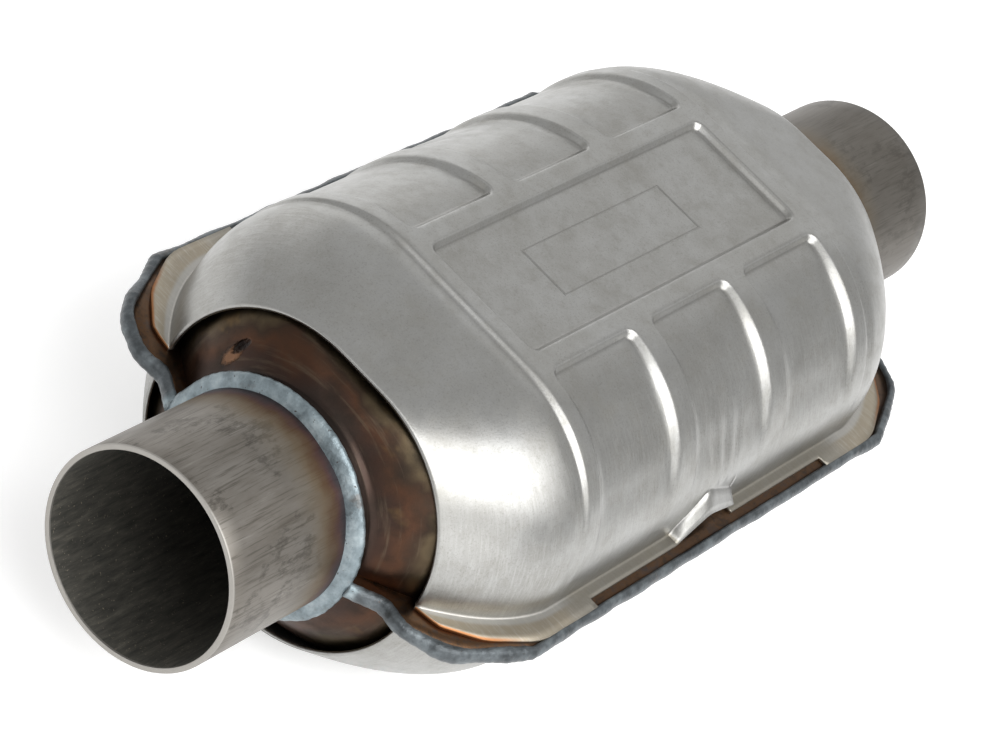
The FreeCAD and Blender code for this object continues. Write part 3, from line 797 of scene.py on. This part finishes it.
def tube_steel():
    """Drawn tube: fine lines along it, smudges, weld tint by the bead, dark inside."""
    m = Nodes("tube_steel", 1.0, 0.42)
    reach = m.math("ABSOLUTE", m.x)
    patch = m.noise(7, 4.0, stretch=(0.35, 1, 1), rough=0.6)
    streak = m.noise(1.5, 5.0, stretch=(0.07, 1, 1), rough=0.72)
    fine = m.noise(0.45, 3.0, stretch=(0.035, 1, 1), rough=0.6)
    colour = m.ramp(patch, [(0.3, srgb(112, 107, 100)), (0.7, srgb(134, 130, 124))])
    colour = m.mix(m.span(streak, 0.52, 0.74, 0, 0.7), colour, srgb(82, 77, 70))
    colour = m.mix(m.span(streak, 0.42, 0.25, 0, 0.5), colour, srgb(158, 155, 149))
    colour = m.mix(m.span(fine, 0.52, 0.66, 0, 0.55), colour, srgb(84, 80, 73))
    smudge = m.math("MULTIPLY", m.noise(2.6, 5.0, stretch=(0.5, 1, 1), rough=0.75),
                    m.span(m.noise(16, 2.0), 0.45, 0.6))
    colour = m.mix(m.span(smudge, 0.44, 0.62, 0, 0.55), colour, srgb(70, 66, 61))
    # Painted shade: the tube colour darkens towards the outlet end.
    colour = m.mix(m.span(m.x, -20, 120, 0, 0.55), colour, srgb(92, 88, 82))
    wander = m.math("MULTIPLY", m.math("SUBTRACT", m.noise(7, 3.0), 0.5), 7.0)
    from_weld = m.math("ADD", m.math("SUBTRACT", reach, NECK_BEAD_TOE), wander)
    stops = [(0.0, srgb(56, 50, 56)), (0.09, srgb(84, 56, 54)), (0.22, srgb(98, 72, 50)),
             (0.45, srgb(116, 98, 74)), (1.0, srgb(130, 121, 105))]
    tint = m.ramp(m.span(from_weld, -1.5, 16), stops)
    colour = m.mix(m.span(from_weld, 18, 2, 0, 0.85), colour, tint)
    radius = m.math("SQRT", m.math("ADD", m.math("MULTIPLY", m.y, m.y), m.math("MULTIPLY", m.z, m.z)))
    rim = m.span(reach, TUBE_MOUTH - 0.7, TUBE_MOUTH - 0.2)
    # The inside of the tube is darker, mottled and barely metallic.
    inside = m.math("MULTIPLY", m.span(radius, TUBE_R - 0.9, TUBE_R - 1.3), m.span(rim, 1, 0))
    inside_mottle = m.noise(1.3, 4.0, stretch=(0.15, 1, 1), rough=0.7)
    dark = m.ramp(inside_mottle, [(0.3, srgb(40, 40, 36)), (0.55, srgb(66, 64, 58)), (0.8, srgb(92, 89, 80))])
    fleck = m.noise(0.6, 2.0)
    dark = m.mix(m.span(fleck, 0.66, 0.74), dark, srgb(120, 112, 98))
    colour = m.mix(inside, colour, dark)
    # Painted highlight: a lighter band round the rim of the tube's mouth.
    colour = m.mix(m.math("MULTIPLY", rim, 0.85), colour, srgb(160, 157, 152))
    m.put(m.span(inside, 0, 1, 1.0, 0.1), m.shader.inputs["Metallic"])
    lines = m.math("ADD", m.math("MULTIPLY", streak, 0.03), m.math("MULTIPLY", fine, 0.02))
    m.bump(lines, 1.0, 1.0)
    return m.finish(colour, m.span(inside, 0, 1, 0.47, 0.75))


def weld_bead():
    """Blue-grey weld metal with lighter patches and a few dark pits."""
    m = Nodes("weld_bead", 0.6, 0.36)
    patch = m.noise(5, 4.0, rough=0.62)
    # Painted shade: the seam beads along the flange edge take a darker copy of the weld colours than
    # the neck beads.
    neck = m.span(m.math("SQRT", m.math("ADD", m.math("MULTIPLY", m.y, m.y),
                                        m.math("MULTIPLY", m.z, m.z))), 35.5, 33.5)
    pale = m.ramp(patch, [(0.3, srgb(88, 98, 102)), (0.5, srgb(122, 134, 139)),
                          (0.72, srgb(158, 169, 173))])
    shaded_copy = m.ramp(patch, [(0.3, srgb(56, 60, 62)), (0.5, srgb(80, 85, 88)),
                          (0.72, srgb(112, 119, 122))])
    colour = m.mix(neck, shaded_copy, pale)
    rust = m.noise(9, 4.0, rough=0.65)
    colour = m.mix(m.span(rust, 0.60, 0.74, 0, 0.55), colour, srgb(84, 72, 62))
    pit = m.noise(1.0, 2.0)
    colour = m.mix(m.span(pit, 0.69, 0.75), colour, srgb(62, 58, 56))
    m.bump(m.noise(1.4, 4.0, rough=0.65), 0.8, 0.25)
    return m.finish(colour, m.span(patch, 0.3, 0.7, 0.30, 0.46))


def ceramic():
    """Pale ceramic with open square cells, painted near-black inside as painted shade down the
    channels.
    """
    m = Nodes("ceramic", 0.0, 0.9)
    walls = []
    for axis in (m.y, m.z):
        cells = m.math("FRACT", m.math("DIVIDE", axis, BRICK_CELL))
        part = m.math("ABSOLUTE", m.math("SUBTRACT", cells, 0.5))
        walls.append(m.span(part, 0.36, 0.41))
    wall = m.math("MAXIMUM", walls[0], walls[1])
    stain = m.noise(14, 3.0)
    body = m.mix(stain, (0.42, 0.36, 0.28), (0.30, 0.25, 0.19))
    m.bump(wall, 1.0, 0.4)
    # Painted shade: the cells are near-black; the cell walls keep the pale body.
    return m.finish(m.mix(wall, (0.012, 0.010, 0.008), body))


def mat_fibre():
    """Felted fibre mat."""
    m = Nodes("mat_fibre", 0.0, 0.95)
    fibre = m.noise(1.2, 5.0, stretch=(1, 0.25, 0.25), rough=0.75)
    m.bump(fibre, 0.6, 0.5)
    return m.finish(m.mix(fibre, (0.52, 0.47, 0.38), (0.74, 0.70, 0.60)))


def wire_mesh():
    """Knitted wire, pressed flat."""
    m = Nodes("wire_mesh", 1.0, 0.42)
    loops = m.math("MULTIPLY", m.math("SINE", m.math("MULTIPLY", m.x, 7.0)),
                   m.math("SINE", m.math("MULTIPLY", m.math("ADD", m.y, m.z), 5.0)))
    m.bump(loops, 0.6, 0.3)
    return m.finish(m.mix(m.span(loops, -0.4, 0.6), (0.14, 0.13, 0.12), (0.45, 0.44, 0.42)))


# ---- the object -----------------------------------------------------------------------
def dress():
    """Makes every piece and gives the inner nodes their materials."""
    steel = shield_steel()
    can = can_steel()
    tube = tube_steel()
    bead = weld_bead()
    shield_piece("upper_shield_stamping", "upper_heat_shield", 1, steel)
    shield_piece("lower_shield_stamping", "lower_heat_shield", -1, steel)
    can_piece("upper_can_stamping", "upper_can_shell", 1, can)
    can_piece("lower_can_stamping", "lower_can_shell", -1, can)
    can_flange_piece("left_can_flange", 1, can)
    can_flange_piece("right_can_flange", -1, can)
    seam_piece("left_seam_bead", "left_seam_weld", 1, bead)
    seam_piece("right_seam_bead", "right_seam_weld", -1, bead)
    neck_piece("inlet_neck_bead", "inlet_neck_weld", -1, bead)
    neck_piece("outlet_neck_bead", "outlet_neck_weld", 1, bead)
    tube_piece("inlet_tube", "inlet_pipe", -1, tube)
    tube_piece("outlet_tube", "outlet_pipe", 1, tube)
    kept = {"brick": ceramic(), "mat": mat_fibre(), "seal": wire_mesh()}
    for name, node in NODES.items():
        for word, material in kept.items():
            if name.endswith(word):
                node.data.materials.clear()
                node.data.materials.append(material)


# ---- stage, light and camera ------------------------------------------------------------
def floor_material():
    """Pale floor that glows to white where the camera or a reflection sees it."""
    material = bpy.data.materials.new("pale_floor")
    material.use_nodes = True
    tree = material.node_tree
    shader = tree.nodes["Principled BSDF"]
    shader.inputs["Base Color"].default_value = (0.75, 0.75, 0.75, 1)
    shader.inputs["Roughness"].default_value = 0.9
    shader.inputs["Specular IOR Level"].default_value = 0.1
    path = tree.nodes.new("ShaderNodeLightPath")
    seen = path.outputs["Is Camera Ray"]
    for ray in ("Is Glossy Ray", "Is Transmission Ray"):
        either = tree.nodes.new("ShaderNodeMath")
        either.operation = "MAXIMUM"
        tree.links.new(seen, either.inputs[0])
        tree.links.new(path.outputs[ray], either.inputs[1])
        seen = either.outputs[0]
    lift = tree.nodes.new("ShaderNodeMath")
    lift.operation = "MULTIPLY"
    tree.links.new(seen, lift.inputs[0])
    lift.inputs[1].default_value = FLOOR_GLOW
    tree.links.new(lift.outputs[0], shader.inputs["Emission Strength"])
    shader.inputs["Emission Color"].default_value = (1, 1, 1, 1)
    return material


def add_floor():
    half, low = FLOOR_HALF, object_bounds()[0].z
    mesh = bpy.data.meshes.new("floor")
    mesh.from_pydata([(-half, -half, low), (half, -half, low), (half, half, low),
                      (-half, half, low)], [], [(0, 1, 2, 3)])
    mesh.materials.append(floor_material())
    floor = bpy.data.objects.new("floor", mesh)
    bpy.context.scene.collection.objects.link(floor)


def add_world():
    world = bpy.data.worlds.new("studio")
    world.use_nodes = True
    bpy.context.scene.world = world
    tree = world.node_tree
    background = tree.nodes["Background"]
    background.inputs["Color"].default_value = (1, 1, 1, 1)
    background.inputs["Strength"].default_value = WORLD_LEVEL


def add_softbox(name, direction, distance, size, level):
    """A rectangular lamp aimed at the object; level is how bright its face is."""
    lamp = bpy.data.lights.new(name, "AREA")
    lamp.shape = "RECTANGLE"
    lamp.size, lamp.size_y = size
    lamp.energy = level * math.pi * size[0] * size[1]
    thing = bpy.data.objects.new(name, lamp)
    way = Vector(direction).normalized()
    thing.location = way * distance
    thing.rotation_euler = way.to_track_quat("Z", "Y").to_euler()
    bpy.context.scene.collection.objects.link(thing)


def add_lights():
    for lamp in LAMPS:
        add_softbox(*lamp)


def add_camera():
    """A long lens view from the inlet end and above, rolled to one side."""
    azimuth, elevation, roll = (math.radians(angle) for angle in CAMERA_ANGLES)
    back = Vector((math.sin(azimuth) * math.cos(elevation),
                   -math.cos(azimuth) * math.cos(elevation), math.sin(elevation)))
    level_right = Vector((math.cos(azimuth), math.sin(azimuth), 0))
    level_up = back.cross(level_right)
    right = level_right * math.cos(roll) + level_up * math.sin(roll)
    up = level_up * math.cos(roll) - level_right * math.sin(roll)
    data = bpy.data.cameras.new("camera")
    data.lens = CAMERA_LENS
    data.sensor_width = CAMERA_SENSOR
    data.clip_start = 0.05
    data.clip_end = 50.0
    camera = bpy.data.objects.new("camera", data)
    place = back * CAMERA_DISTANCE + right * CAMERA_ASIDE + up * CAMERA_ABOVE
    turn = Matrix((right, up, back)).transposed().to_4x4()
    camera.matrix_world = Matrix.Translation(place) @ turn
    bpy.context.scene.collection.objects.link(camera)
    bpy.context.scene.camera = camera


dress()
add_floor()
add_world()
add_lights()
add_camera()
bpy.context.scene.view_settings.view_transform = "Standard"
